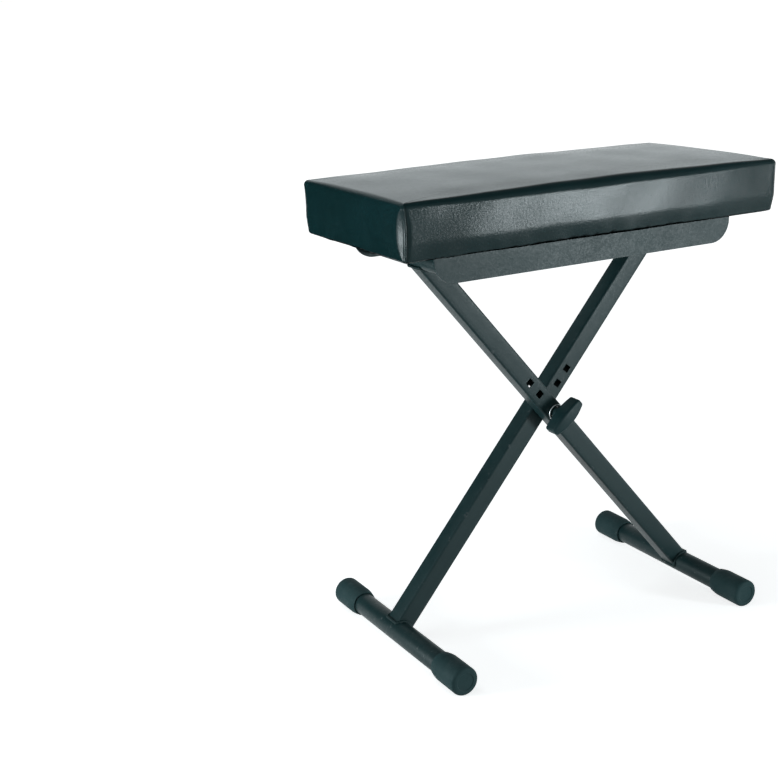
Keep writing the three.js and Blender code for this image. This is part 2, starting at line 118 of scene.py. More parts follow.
def place(group, **inputs):
    """A group placed with its own values."""
    return add("Group", inputs, node_tree=group).outputs


def calc(operation, first, second, third=0.5, clamp=False):
    inputs = {0: first, 1: second, 2: third}
    return add("Math", inputs, operation=operation, use_clamp=clamp).outputs[0]


def spread(value, low, high, to_low=0.0, to_high=1.0):
    """A value's range from low to high, carried to another range and held there."""
    inputs = {"Value": value, "From Min": low, "From Max": high, "To Min": to_low,
              "To Max": to_high}
    return add("MapRange", inputs).outputs["Result"]


def noise(source, detail=2.0, finer=1.0, output="Fac", **more):
    """Noise in features of an effect's size, or some times finer."""
    scale = calc("DIVIDE", finer, source["Size"])
    inputs = {"Vector": source["Vector"], "Scale": scale, "Detail": detail, **more}
    return add("TexNoise", inputs).outputs[output]


def kept_on(socket, name):
    """What a piece keeps for each of its points under a name."""
    return add("Attribute", {}, socket.id_data, attribute_name=name).outputs["Fac"]


def effect(name, build, **numbers):
    """A node group: a place and named numbers go in, and what its builder names comes out."""
    tree = bpy.data.node_groups.new(name, "ShaderNodeTree")
    sockets = tree.interface
    sockets.new_socket("Vector", in_out="INPUT", socket_type="NodeSocketVector")
    for label, value in numbers.items():
        socket = sockets.new_socket(label, in_out="INPUT", socket_type="NodeSocketFloat")
        socket.default_value = value
    results = build(tree.nodes.new("NodeGroupInput").outputs)
    for label in results:
        sockets.new_socket(label, in_out="OUTPUT", socket_type="NodeSocketFloat")
    feed(tree.nodes.new("NodeGroupOutput"), results)
    return tree


def uneven_patches(source):
    """Soft uneven patches: noise of a size, carried to a range."""
    value = spread(noise(source, 3.0), 0.32, 0.68)
    return {"Value": spread(value, 0.0, 1.0, source["Low"], source["High"])}


def sprayed_skin(source):
    """Height of sprayed paint: fine pimples with a broader ripple below them."""
    pimples, ripple = noise(source), noise(source, 1.0, 0.18)
    return {"Height": calc("MULTIPLY_ADD", ripple, 0.8, pimples)}


def leather_grain(source):
    """Height of an embossed leather grain: rounded cells between creases, their outlines pushed
    about by noise, with tiny pores on them."""
    push = noise(source, finer=0.45, output="Color")
    push = add("VectorMath", {0: push, 1: (0.5, 0.5, 0.5)}, operation="SUBTRACT").outputs[0]
    push = add("VectorMath", {0: push, "Scale": source["Size"]}, operation="SCALE")
    inputs = {0: source["Vector"], 1: push.outputs[0]}
    bent = add("VectorMath", inputs, operation="ADD").outputs[0]
    inputs = {"Vector": bent, "Scale": calc("DIVIDE", 1.0, source["Size"])}
    inward = add("TexVoronoi", inputs, feature="DISTANCE_TO_EDGE").outputs["Distance"]
    cell = calc("POWER", spread(inward, 0.0, 0.28), 0.6)
    pores = noise(source, finer=4.0)
    return {"Height": calc("MULTIPLY_ADD", pores, 0.18, cell),
            "Crease": spread(inward, 0.0, 0.12, 1.0, 0.0)}


def rubbed_edges(source):
    """Mask of edges that handling has rubbed: the piece's own "edge" curvature, broken by noise."""
    edge = kept_on(source["Size"], "edge")
    strong = spread(edge, calc("MULTIPLY", source["Sharp"], 0.4), source["Sharp"])
    start = calc("MULTIPLY", source["Amount"], 0.4)
    patch = spread(noise(source, 4.0), calc("SUBTRACT", 0.75, start), 0.8)
    return {"Mask": calc("MULTIPLY", strong, patch, clamp=True)}


def settled_dust(source):
    """Mask of dust on faces that look up, thicker in patches."""
    normal = add("NewGeometry", {}, source["Size"].id_data).outputs["Normal"]
    upward = spread(add("SeparateXYZ", {0: normal}).outputs["Z"], 0.2, 0.95)
    patch = spread(noise(source, 6.0, Roughness=0.7), 0.4, 0.75)
    thick = calc("MULTIPLY", upward, patch)
    return {"Mask": calc("MULTIPLY", thick, source["Amount"], clamp=True)}


CLOUDY = effect("uneven patches", uneven_patches, Size=0.05, Low=0.0, High=1.0)
PAINT_SKIN = effect("sprayed skin", sprayed_skin, Size=0.001)
LEATHER_GRAIN = effect("leather grain", leather_grain, Size=0.0016)
RUBBED_EDGE = effect("rubbed edges", rubbed_edges, Size=0.006, Sharp=250.0, Amount=0.5)
SETTLED_DUST = effect("settled dust", settled_dust, Size=0.02, Amount=0.3)
# The fold tone is painted shade: the near-black colour laid on the cover in the shadow of the fold
# under the seat's lower edge.
DUST_TONE, TARNISH_TONE, FOLD_SHADE_TONE = (0.25, 0.26, 0.26), (0.12, 0.12, 0.11), (0.0005, 0.001, 0.001)
MOTTLE = 0.055


def cloudy(spot, size, low=0.0, high=1.0):
    return place(CLOUDY, Vector=spot, Size=size, Low=low, High=high)["Value"]


def layered(base, *layers):
    """A colour under layers, each a mask and the colour that shows where the mask is 1. A Mix
    node's colours are its inputs 6 and 7 and its output 2."""
    colour = (*base, 1.0)
    for mask, over in layers:
        inputs = {0: mask, 6: colour, 7: (*over, 1.0)}
        colour = add("Mix", inputs, data_type="RGBA").outputs[2]
    return colour


def bump(height, depth, **below):
    """Normals of a relief whose height runs from 0 to 1 over a depth, on the normals below it."""
    inputs = {"Height": height, "Distance": depth, "Strength": 1.0, **below}
    return add("Bump", inputs).outputs["Normal"]


def finish(name, build, *values):
    """A material: its builder gets the object's own coordinates and says what each socket of the
    Principled BSDF gets."""
    material = bpy.data.materials.new(name)
    material.use_nodes = True
    tree = material.node_tree
    spot = add("TexCoord", {}, tree).outputs["Object"]
    feed(tree.nodes["Principled BSDF"], build(spot, *values))
    return material


def coat(spot, tones, roughness, skin, rubbed, dust, specular=0.14, bare=(0.2, 0.2, 0.2)):
    """A finish of two close tones in patches, with a fine skin, rubbed edges and some dust.

    tones: two colours; roughness: lowest and highest; skin: size and depth of the pimples;
    rubbed: curvature that counts as an edge and how much of it is rubbed; dust: its amount.
    """
    worn = place(RUBBED_EDGE, Vector=spot, Sharp=rubbed[0], Amount=rubbed[1])["Mask"]
    dusty = place(SETTLED_DUST, Vector=spot, Amount=dust)["Mask"]
    rough = cloudy(spot, 0.03, *roughness)
    rough = calc("MULTIPLY_ADD", dusty, 0.4, rough, clamp=True)
    speckled = cloudy(spot, 0.0026, -MOTTLE, MOTTLE)
    height = place(PAINT_SKIN, Vector=spot, Size=skin[0])["Height"]
    return {"Base Color": layered(tones[0], (cloudy(spot, 0.07), tones[1]),
                                  (worn, bare), (dusty, DUST_TONE)),
            "Roughness": calc("ADD", rough, speckled),
            "Normal": bump(height, skin[1]), "Specular IOR Level": specular}


def leatherette(spot):
    """Black leatherette with a soft sheen: slow waves, pebbles and an embossed grain, duller in
    the creases, which painted shade also darkens, and painted shade, near black and without gloss,
    along the fold under the lower edge."""
    grain = place(LEATHER_GRAIN, Vector=spot, Size=0.0017)
    # Painted shade: the grain's creases are darkened in colour, on top of the shading that their
    # bump gives.
    crease_shade = calc("MULTIPLY", grain["Crease"], 0.6)
    dusty = place(SETTLED_DUST, Vector=spot, Amount=0.012)["Mask"]
    # Painted shade: along the fold under the lower edge the cover is painted near black and its
    # gloss is taken away.
    fold_shade_mask = kept_on(spot, "painted_fold_shade")
    rough = cloudy(spot, 0.05, 0.16, 0.2)
    normal = bump(cloudy(spot, 0.03), 0.05 * MM)
    normal = bump(cloudy(spot, 0.0032), 0.042 * MM, Normal=normal)
    return {"Base Color": layered((0.0038, 0.0175, 0.0185),
                                  (cloudy(spot, 0.09), (0.0048, 0.0215, 0.0235)),
                                  (crease_shade, (0.001, 0.007, 0.008)), (dusty, DUST_TONE),
                                  (fold_shade_mask, FOLD_SHADE_TONE)),
            "Specular IOR Level": spread(fold_shade_mask, 0.0, 1.0, 0.12, 0.0),
            "Roughness": calc("MULTIPLY_ADD", grain["Crease"], 0.1, rough, clamp=True),
            "Normal": bump(grain["Height"], 0.025 * MM, Normal=normal)}


def bare_metal(spot, tones, roughness, tarnish):
    """Bare or plated metal of two tones, with duller patches and fine marks."""
    stained = cloudy(spot, 0.0015, 0.0, tarnish)
    height = place(PAINT_SKIN, Vector=spot, Size=0.0012)["Height"]
    return {"Base Color": layered(tones[0], (cloudy(spot, 0.006), tones[1]),
                                  (stained, TARNISH_TONE)),
            "Roughness": cloudy(spot, 0.004, *roughness),
            "Normal": bump(height, 0.004 * MM), "Metallic": 1.0}


def spun_cloth(spot):
    """Black spun cloth: a net of short fibres with pin-holes between them."""
    holes = add("TexVoronoi", {"Vector": spot, "Scale": 900.0}, feature="DISTANCE_TO_EDGE")
    fibre = spread(holes.outputs["Distance"], 0.02, 0.18, 1.0, 0.0)
    thin = calc("MULTIPLY", cloudy(spot, 0.012), 0.4)
    return {"Base Color": layered((0.006, 0.006, 0.006), (fibre, (0.03, 0.031, 0.032)),
                                  (thin, (0.012, 0.012, 0.012))),
            "Normal": bump(fibre, 0.15 * MM), "Roughness": 0.95, "Sheen Weight": 0.15}


def cut_face(spot, kind, inputs, squeeze, ends, tones, depth, roughness):
    """A cut face of two tones that follow one texture, which is its relief too: the texture's
    kind and inputs, how much it is squeezed along each axis, and the values of the two tones."""
    spot = add("Mapping", {"Vector": spot, "Scale": squeeze}).outputs[0]
    relief = add(kind, {"Vector": spot, **inputs}).outputs[0]
    return {"Base Color": layered(tones[0], (spread(relief, *ends), tones[1])),
            "Normal": bump(relief, depth), "Roughness": roughness}


BEAD_PAINT = finish("paint over weld", coat, ((0.0045, 0.017, 0.018), (0.0065, 0.021, 0.022)),
                    (0.42, 0.55), (0.0007, 0.05 * MM), (900.0, 0.2), 0.04)
SLOT_FINISH = {slot: finish(*values) for slot, *values in (
    ("painted_steel", "satin black paint", coat, ((0.0045, 0.0185, 0.02), (0.0065, 0.0225, 0.024)),
     (0.41, 0.45), (0.0018, 0.07 * MM), (330.0, 0.35), 0.04, 0.175, (0.06, 0.075, 0.077)),
    ("rubber", "black foot rubber", coat, ((0.011, 0.031, 0.033), (0.016, 0.04, 0.042)),
     (0.62, 0.8), (0.0011, 0.05 * MM), (500.0, 0.35), 0.07, 0.14, (0.04, 0.06, 0.06)),
    ("moulding", "matt black moulding", coat, ((0.005, 0.02, 0.022), (0.007, 0.025, 0.027)),
     (0.4, 0.5), (0.0012, 0.03 * MM), (700.0, 0.4), 0.04, 0.14, (0.03, 0.045, 0.045)),
    ("nylon", "black nylon", coat, ((0.015, 0.016, 0.017), (0.024, 0.025, 0.026)),
     (0.4, 0.5), (0.002, 0.01 * MM), (900.0, 0.3), 0.04),
    ("leatherette", "leatherette", leatherette),
    ("cloth", "spun black cloth", spun_cloth),
    ("plywood", "plywood", cut_face, "TexNoise", {"Scale": 8.0, "Detail": 5.0}, (3, 30, 30),
     (0.35, 0.65), ((0.38, 0.24, 0.12), (0.55, 0.39, 0.22)), 0.1 * MM, 0.75),
    ("foam", "cut foam", cut_face, "TexVoronoi", {"Scale": 700.0}, (1, 1, 1),
     (0.1, 0.7), ((0.5, 0.45, 0.28), (0.66, 0.61, 0.42)), 0.3 * MM, 0.95),
    ("zinc", "zinc plate", bare_metal, ((0.52, 0.55, 0.56), (0.68, 0.68, 0.62)), (0.28, 0.42),
     0.35),
    ("chrome", "bright chrome", bare_metal, ((0.78, 0.8, 0.82), (0.86, 0.87, 0.88)), (0.06, 0.16),
     0.06),
    ("brass", "turned brass", bare_metal, ((0.62, 0.45, 0.18), (0.72, 0.55, 0.26)), (0.25, 0.38),
     0.2),
)}


# Mesh making

def whole_turn(sides):
    return linspace(0, 2 * pi, sides, endpoint=False)


def quarter_turn(steps):
    return linspace(0, pi / 2, steps + 1)


def circle(angle, radius=1.0):
    return stack([radius * cos(angle), radius * sin(angle)], -1)


def unit(ways):
    return ways / norm(ways, axis=-1, keepdims=True)


def grid_faces(rows, cols, close_rows=False, close_cols=True):
    """Quads between neighbouring points of a grid, as indices into its list."""
    i, j = np.meshgrid(arange(rows - (not close_rows)), arange(cols - (not close_cols)),
                       indexing="ij")
    below, beside = (i + 1) % rows, (j + 1) % cols
    quads = stack([i * cols + j, i * cols + beside, below * cols + beside, below * cols + j], -1)
    return quads.reshape(-1, 4)


def wall(loop, count):
    """Quads between closed lines of points and the same lines a count later, on another skin."""
    ahead = roll(loop, -1, -1)
    return stack([loop, ahead, ahead + count, loop + count], -1)


def sewn(name, points, *faces, close_rows=False, close_cols=True):
    """A mesh from a grid of points, or from points and quads: points that coincide become one,
    faces that collapse go, and all faces point outwards."""
    faces = faces or [grid_faces(*points.shape[:2], close_rows, close_cols)]
    data = bpy.data.meshes.new(name)
    quads = concatenate([part.reshape(-1, 4) for part in faces])
    data.from_pydata(points.reshape(-1, 3).tolist(), [], quads.tolist())
    form = bmesh.new()
    form.from_mesh(data)
    bmesh.ops.remove_doubles(form, verts=form.verts, dist=1e-6)
    bmesh.ops.dissolve_degenerate(form, edges=form.edges, dist=1e-7)
    bmesh.ops.recalc_face_normals(form, faces=form.faces)
    form.to_mesh(data)
    form.free()
    return data


def join(name, parts):
    """One mesh out of several that touch or overlap."""
    form = bmesh.new()
    for part in parts:
        form.from_mesh(part)
        bpy.data.meshes.remove(part)
    data = bpy.data.meshes.new(name)
    form.to_mesh(data)
    form.free()
    return data


def read(values, key):
    flat = np.empty(len(values) * 3)
    values.foreach_get(key, flat)
    return flat.reshape(-1, 3)


def points_of(data):
    return read(data.vertices, "co")


def normals_of(data):
    return read(data.vertex_normals, "vector")


def move(data, places):
    data.vertices.foreach_set("co", places.ravel())
    data.update()


def keep(data, name, values):
    """Keeps a number for each point of a mesh, for its material to read."""
    data.attributes.new(name, "FLOAT", "POINT").data.foreach_set("value", values)


def mark_edges(data):
    """Keeps the curvature of a mesh as "edge": along each edge, the turn of the normal over the
    way travelled, and at each point the largest of these."""
    pairs = np.empty(len(data.edges) * 2, int)
    data.edges.foreach_get("vertices", pairs)
    a, b = pairs.reshape(-1, 2).T
    places, normals = points_of(data), normals_of(data)
    way, turn = places[b] - places[a], normals[b] - normals[a]
    bend = (way * turn).sum(1) / maximum((way * way).sum(1), 1e-12)
    most = zeros(len(places))
    maximum.at(most, a, bend)
    maximum.at(most, b, bend)
    keep(data, "edge", most)


def put(data):
    """An object in the scene, named as what it shows."""
    made = bpy.data.objects.new(data.name, data)
    SCENE.collection.objects.link(made)
    return made


def piece(data, body, slot, *nodes, material=None, sharp=40, bevel=0.0):
    """An object for a mesh on its body, standing for CAD nodes: smooth except at sharp edges,
    which a bevel may round."""
    made = put(data)
    data.polygons.foreach_set("use_smooth", np.ones(len(data.polygons), bool))
    data.set_sharp_from_angle(angle=radians(sharp))
    mark_edges(data)
    data.materials.append(material or SLOT_FINISH[slot])
    if bevel:
        rim = made.modifiers.new("rounded rims", "BEVEL")
        rim.width, rim.segments, rim.limit_method = bevel, 2, "ANGLE"
        rim.angle_limit = radians(sharp)
        rim.harden_normals = True
    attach(made, body)
    if nodes:
        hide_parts(*nodes)
    return made


def eased(points, radii, steps=5, closed=False):
    """A line of 2-D points with its corners rounded: at a corner with a radius, an arc runs from
    one side's tangent point to the other's."""
    points = array(points, float)
    line = []
    for i, (p, radius) in enumerate(zip(points, radii)):
        if radius <= 0 or (not closed and i in (0, len(points) - 1)):
            line.append(p)
            continue
        a, b = unit(points[i - 1] - p), unit(points[(i + 1) % len(points)] - p)
        half = arccos(clip(a @ b, -1, 1)) / 2
        middle = p + unit(a + b) * radius / sin(half)
        reach = radius / tan(half)
        u, v = p + a * reach - middle, p + b * reach - middle
        sweep = pi - 2 * half
        t = linspace(0, 1, steps + 1)[:, None]
        share_u, share_v = sin((1 - t) * sweep), sin(t * sweep)
        line.extend(middle + (share_u * u + share_v * v) / sin(sweep))
    return array(line)


def round_axis(middle, radius, along, angle):
    """Points round an axis along Y, from their radius, their Y and their angle from below."""
    x, z = middle[0] + radius * sin(angle), middle[2] - radius * cos(angle)
    return stack(broadcast_arrays(x, along, z), -1)


def turned(name, profile, middle, sides=64, flip=1):
    """A body turned round an axis along Y: each profile point is a radius and a place along the
    axis. The profile runs from axis to axis, or once round its section."""
    radius, along = array(profile, float).T[:, :, None]
    points = round_axis(middle, radius, middle[1] + flip * along, whole_turn(sides))
    return sewn(name, points, close_rows=radius[0] > 1e-9 or radius[-1] > 1e-9)


# Tubes of the legs

def pipe(name, node, radius, sides):
    """A round tube along Y in a node's place, with slightly rounded rims."""
    low, high = corners(node)
    inner, rim = radius - TUBE_WALL, 0.25 * MM
    section = [(inner, low[1]), (radius, low[1]), (radius, high[1]), (inner, high[1])]
    x, _, z = centre(node)
    return turned(name, eased(section, [rim] * 4, 2, closed=True), (x, 0, z), sides)


def hole_arm(setting):
    """Way from a leg's pivot to its hole for a setting: each step lowers the seat by the same."""
    sine = sin(LEG_ANGLE) - setting * HEIGHT_STEP / (UPPER_ARM + LOWER_ARM)
    return -FRONT_PIVOT[0] / sqrt(1 - sine * sine)


def square_ring(size, corner, steps=6):
    """Points round a square with rounded corners, as Y and Z, with two of them at the edges of
    the bolt holes on each of the sides that the holes go through."""
    half, flat, hole = size / 2, size / 2 - corner, HOLE_SIZE / 2
    bend = flat + circle(quarter_turn(steps), corner)
    holes = array([[half, -hole], [half, hole]])
    top = array([[0.0, half]])
    return concatenate([holes, bend, top, bend[::-1] * [-1, 1], holes[::-1] * [-1, 1],
                        -bend, -top, bend[::-1] * [1, -1]])


def leg_points(side, along, y, z):
    """Points given by their way down a leg from the bolt, their Y in the tube and their height
    across it, carried to the leg's place."""
    down = array([side * cos(LEG_ANGLE), 0, -sin(LEG_ANGLE)])
    across = array([side * sin(LEG_ANGLE), 0, cos(LEG_ANGLE)])
    along, y, z = (part[..., None] for part in broadcast_arrays(along, y, z))
    offset = CROSSING + array([0, side * (LEG_LOW[1] + LEG_HIGH[1]) / 2, 0])
    return offset + along * down + z * across + y * array([0, 1, 0])


def coped_ends(z):
    """Where the tube ends at a height across it: on circles round the cross tube and the foot."""
    top = -UPPER_ARM + sqrt(maximum((CROSS_RADIUS + GAP) ** 2 - z * z, 0))
    foot = LOWER_ARM - sqrt((FOOT_RADIUS + GAP) ** 2 - z * z)
    return top, foot


def leg_tube(name, side):
    """A square tube as a grid of stations along it and points round it, inside and out. Stations
    lie at both edges of each square hole, the cells between them are left out, and walls join
    the two skins there and at the coped ends."""
    holes = [hole_arm(setting) - UPPER_ARM for setting in range(SETTINGS)]
    edges = sorted(h + s * HOLE_SIZE / 2 for h in holes for s in (-1, 1))
    first, last = -UPPER_ARM + 22 * MM, LOWER_ARM - 22 * MM
    straight = concatenate([linspace(first, edges[0], 24)[:-1], edges,
                            linspace(edges[-1], last, 30)[1:]])[:, None]
    blend = linspace(0, 1, 9)[:-1, None]
    skins = []
    for set_in in (0, LEG_WALL):
        y, z = square_ring(LEG_SIZE - 2 * set_in, LEG_CORNER - set_in).T
        top, foot = coped_ends(z)
        along = concatenate([top + (first - top) * blend, straight + 0 * z,
                             foot + (last - foot) * blend[::-1]])
        skins.append(leg_points(side, along, y, z))
    rows, cols = skins[0].shape[:2]
    count = rows * cols
    quads = grid_faces(rows, cols)
    row, col = np.divmod(quads[:, 0], cols)
    hole_rows = [len(blend) + int(np.argmin(abs(straight - (h - HOLE_SIZE / 2)))) for h in holes]
    ring = square_ring(LEG_SIZE, LEG_CORNER)
    y, z = abs(ring + roll(ring, -1, 0)).T / 2
    hole_cols = np.flatnonzero((abs(y - LEG_SIZE / 2) < 1e-6) & (z < 1e-6))
    cut = np.isin(row, hole_rows) & np.isin(col, hole_cols)
    ends = array([[0], [rows - 1]]) * cols + arange(cols)
    return sewn(name, stack(skins), quads[~cut], quads[~cut] + count,
                wall(quads[cut], count), wall(ends, count))


def cope_line(side, which, out, count=360):
    """The line where a leg's skin meets its tube, set out a little: even steps round the square."""
    ring = square_ring(LEG_SIZE + 2 * out, LEG_CORNER + out, 10)
    closed = concatenate([ring, ring[:1]])
    run = concatenate([[0], np.cumsum(norm(np.diff(closed, axis=0), axis=1))])
    at = linspace(0, run[-1], count, endpoint=False)
    y, z = np.interp(at, run, closed[:, 0]), np.interp(at, run, closed[:, 1])
    reach = FOOT_RADIUS - 0.1 * MM
    return leg_points(side, coped_ends(clip(z, -reach, reach))[which], y, z)


def bead(name, path, radius, drops, sides=12):
    """A weld bead: a round section carried along a closed path, its radius swelling and shrinking
    along it as the weld was laid in small drops."""
    way = unit(roll(path, -1, 0) - roll(path, 1, 0))
    up = unit(cross(way, array([0.31, 0.17, 0.93])))
    side = cross(way, up)
    run = linspace(0, 2 * pi * drops, len(path), endpoint=False)
    thick = radius * (1 + 0.14 * abs(sin(run / 2)) + 0.06 * sin(run * 0.13 + 1))
    angle = whole_turn(sides)[None, :, None]
    ring = cos(angle) * up[:, None] + sin(angle) * side[:, None]
    return sewn(name, path[:, None] + ring * thick[:, None, None], close_rows=True)


# Foot caps

def foot_cap(name, node):
    """A rubber cap turned round the foot's axis, its end outwards, squashed flat where it stands.
    Its section runs from the middle of the inner end face along the bore, round the mouth, along
    the slightly tapered side, round the closed end and across its shallow dish."""
    low, high = corners(node)
    end = 1 if (low + high)[1] > 0 else -1
    outer, length = (high[0] - low[0]) / 2, high[1] - low[1]
    bore, (lip, floor_at, dish) = FOOT_RADIUS + GAP, array([1.6, 5, 0.8]) * MM
    points = [(0, floor_at), (bore, floor_at), (bore, length), (bore + lip, length),
              (outer - 0.6 * MM, length - 7 * MM), (outer, length - 12 * MM), (outer, 0),
              (11.5 * MM, 0), (10.7 * MM, dish), (0, dish)]
    radii = array([0, 0.4, 0.5, 0.7, 6, 6, 4, 0.5, 0.4, 0]) * MM
    middle = ((low[0] + high[0]) / 2, end * max(abs(low[1]), abs(high[1])), FRONT_FOOT[2])
    data = turned(name, eased(points, radii, 6), middle, 96, -end)
    places = points_of(data)
    places[:, 2] = maximum(places[:, 2], 0)
    move(data, places)
    return data


# Clamp: washer, knob and bolt

KNOB_LENGTH, KNOB_MIDDLE, KNOB_END, KNOB_DEPTH = array([53, 18, 11.5, 21]) * MM
KNOB_TILT = radians(41)


def wing_outline(count=40):
    """Half-thickness of the wing along its length, seen along the bolt: two shallow curves
    between rounded ends, as a closed line of points."""
    x, end, control = KNOB_LENGTH / 2, KNOB_END / 2, KNOB_MIDDLE - KNOB_END / 2
    corner = 3.4 * MM
    t = linspace(0, 1, count)[:, None]
    a, b, c = array([x - corner, end]), array([0, control]), array([corner - x, end])
    top = (1 - t) ** 2 * a + 2 * t * (1 - t) * b + t * t * c
    arc = linspace(pi / 2, pi, 8)[1:-1]
    bend = [corner - x, end - corner] + circle(arc, corner)
    side = array([[-x, s * (end - corner)] for s in linspace(1, -1, 4)])
    half = concatenate([top, bend, side, bend[::-1] * [1, -1]])
    return concatenate([half, -half])


def knob_wing():
    """The wing: the outline is set in towards both faces along a quarter round, each face closes
    on the middle line, and the outer face falls away with the square of the reach."""
    line = wing_outline()
    ahead = roll(line, -1, 0) - roll(line, 1, 0)
    out = unit(stack([ahead[:, 1], -ahead[:, 0]], -1))
    out *= np.sign((out * line).sum(1))[:, None]
    edge, reach = 2.6 * MM, KNOB_LENGTH / 2 - 6 * MM
    fall, rise = edge * (1 - circle(quarter_turn(6))).T
    inset = concatenate([rise, rise[::-1]])
    depth = concatenate([fall, KNOB_DEPTH - fall[::-1]])
    side = line[None] - inset[:, None, None] * out[None]
    share = array([0.0, 0.3, 0.6, 0.85])[:, None, None]
    spine = stack([clip(line[:, 0], -reach, reach), 0 * line[:, 1]], -1)
    flat = concatenate([spine + (side[0] - spine) * share, side,
                        spine + (side[-1] - spine) * share[::-1]])
    deep = concatenate([zeros(4), depth, full(4, KNOB_DEPTH)])[:, None]
    reach, waist = flat[..., 0] / (KNOB_LENGTH / 2), flat[..., 1] / (KNOB_MIDDLE / 2)
    crown = 0.5 * MM * (1 - clip(waist**2, 0, 1)) * (deep > KNOB_DEPTH / 2)
    return flat, deep * (1 - 3 / 21 * reach**2) + crown


def knob_handle():
    """The wing and its round neck, turned to the knob's tilt and set on the bolt."""
    flat, deep = knob_wing()
    face = corners("knob_handle")[1][1]
    neck, bore, radius = array([8.5, 5.8, 7]) * MM
    (x, z), c, s = moveaxis(flat, -1, 0), cos(KNOB_TILT), sin(KNOB_TILT)
    wing = sewn("wing", stack([CROSSING[0] + (x * c - z * s), face - neck - deep,
                               CROSSING[2] + (x * s + z * c)], -1))
    section = [(0, 20 * MM), (bore, 20 * MM), (bore, 0), (radius, 0),
               (radius + 0.3 * MM, neck - 1.5 * MM), (radius + 2.2 * MM, neck + 1 * MM),
               (0, neck + 4 * MM)]
    profile = eased(section, array([0, 0.3, 0.4, 0.8, 2, 0.2, 0]) * MM)
    middle = (CROSSING[0], face, CROSSING[2])
    return join("wing_knob", [wing, turned("neck", profile, middle, 64, -1)])


def cupped_washer():
    """A round washer whose rim is drawn up, turned from its section."""
    section = [(4.3, 0), (10, 0), (10.75, 0.7), (10.75, 3.4), (9.3, 3.4), (7.2, 1.4), (4.3, 1.4)]
    profile = eased(section, [0.2, 0.3, 0.6, 0.6, 0.5, 0.8, 0.2], closed=True) * MM
    middle = (CROSSING[0], corners("clamp_washer")[1][1], CROSSING[2])
    return turned("cupped_washer", profile, middle, 96, -1)


def threaded_shank(name, low, high, radius, pitch=1.25 * MM, steps=8, sides=36):
    """A bolt's threaded shank: the radius is a rounded saw tooth of the place along the axis less
    the turn times the pitch, and it fades out at the two ends, which are closed."""
    rows = int((high - low) / pitch * steps)
    along = linspace(low, high, rows)[:, None]
    angle = whole_turn(sides)
    phase = (along / pitch - angle / (2 * pi)) % 1
    fade = clip(minimum(along - low, high - along) / pitch, 0, 1)
    depth = 0.34 * MM * (1 - abs(2 * phase - 1)) * fade + (1 - fade) * 0.5 * MM
    ends = [round_axis(CROSSING, 0, full((1, sides), y), angle) for y in (low, high)]
    thread = round_axis(CROSSING, radius - depth, along, angle)
    return sewn(name, concatenate([ends[0], thread, ends[1]]))


def carriage_bolt():
    """The bolt through the crossing: a domed head behind the rear leg, a neck, and the thread."""
    face, high = corners("rear_leg_tube")[1][1] + GAP, BOLT_HIGH[1]
    dome, seat, neck, neck_deep = array([8.5, 8.2, 3.9, 5]) * MM
    bend = linspace(0.12, pi / 2, 14)
    profile = [(0, high), *zip(dome * sin(bend), face + (high - face) * (0.3 + 0.7 * cos(bend))),
               (dome, face + GAP), (seat, face), (neck, face), (neck, face - neck_deep),
               (0, face - neck_deep)]
    head = turned("head", profile, (CROSSING[0], 0, CROSSING[2]), 72)
    shank = threaded_shank("shank", BOLT_LOW[1], face - 4.4 * MM, 4 * MM)
    return join("carriage_bolt", [head, shank])


# Rails and their screws

def rail_strip(name, side):
    """A strip bent to an angle, carried along X: its section runs up the outer face, round the
    bend and in along the flange, then back along the inner faces. The lower edge rises round the
    corners at both ends, and its points are shared out between that edge and the bend."""
    low, high = corners("front_rail")
    top, outer = high[2], low[1]
    turn, run, steps = quarter_turn(14), high[0] - RAIL_CORNER, 41
    end_x, end_rise = run + RAIL_CORNER * sin(turn), RAIL_CORNER * (1 - cos(turn))
    x = concatenate([-end_x[::-1], linspace(-run, run, steps)[1:-1], end_x])[:, None]
    rise = concatenate([end_rise[::-1], zeros(steps - 2), end_rise])[:, None]
    bend, upright, inward = quarter_turn(6), linspace(0, 1, 6)[:-1], linspace(0, 1, 5)[1:]
    edge = top - (high[2] - low[2]) + rise
    skins = []
    for skin in (0, STRIP):
        radius = STRIP_BEND - skin
        y = concatenate([0 * upright + outer + skin, outer + STRIP_BEND - radius * cos(bend),
                         outer + STRIP_BEND + inward * (FLANGE - STRIP_BEND)])
        z = concatenate([edge + upright * (top - STRIP_BEND - edge),
                         top - STRIP_BEND + radius * sin(bend) + 0 * x,
                         0 * inward + top - skin + 0 * x], 1)
        skins.append(stack(broadcast_arrays(x, y, z), -1))
    points = concatenate([skins[0], skins[1][:, ::-1]], 1)
    if side > 0:
        points = points * [-1, -1, 1]
    rows, cols = points.shape[:2]
    j = arange(cols // 2 - 1)
    end = stack([j, j + 1, cols - 2 - j, cols - 1 - j], -1)
    return sewn(name, points, grid_faces(rows, cols), end, (rows - 1) * cols + end)


def screw_head(radius, height, rings=22, sides=64):
    """A domed head with a cross recess: height over the radius is a flat dome, and the recess is
    a smooth-walled plus whose depth shrinks outwards."""
    r = radius * linspace(0, 1, rings)[:, None] ** 0.8
    x, y = moveaxis(circle(whole_turn(sides), r), -1, 0)
    dome = height * sqrt(maximum(1 - (r / radius) ** 2.4, 0))
    arm = minimum(abs(x), abs(y))
    slot = 1 / (1 + exp((arm - 0.62 * MM) / (0.07 * MM)))
    reach = 1 / (1 + exp((r - radius * 0.55) / (0.16 * MM)))
    z = dome - 1.5 * MM * slot * reach * (1 - 0.4 * r / radius)
    return x, y, maximum(z, 0.15 * MM * (r < radius * 0.98))


